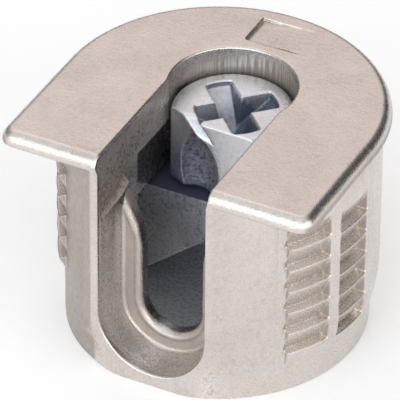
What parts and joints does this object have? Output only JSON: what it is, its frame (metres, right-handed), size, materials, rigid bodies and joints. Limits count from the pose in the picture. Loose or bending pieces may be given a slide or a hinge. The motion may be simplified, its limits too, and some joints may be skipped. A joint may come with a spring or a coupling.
{
  "type": "cam lock connector",
  "caption": "Cast metal shelf connector for a round blind hole: flanged toothed housing with a bolt slot, and a turning claw cam with a cross recess.",
  "frame": {"origin": "on the axis of the round body, in the plane of its base", "axes": "+Z from the base to the flange and the driver recess, -Y out of the bolt slot, +X to the right of the slot seen from the front"},
  "size_m": [0.0208, 0.0198, 0.0158],
  "materials": {
    "housing_metal": "satin nickel-plated zinc casting",
    "cam_metal": "satin bright-zinc-plated casting"
  },
  "bodies": {
    "housing": {"housing": "housing_metal"},
    "cam": {"cam": "cam_metal"}
  },
  "joints": [
    {"name": "cam_turn", "type": "hinge", "parent": "housing", "child": "cam", "pos_m": [0, 0.0018, 0.008], "axis": [0, 0, -1], "range_deg": [0, 180]}
  ]
}
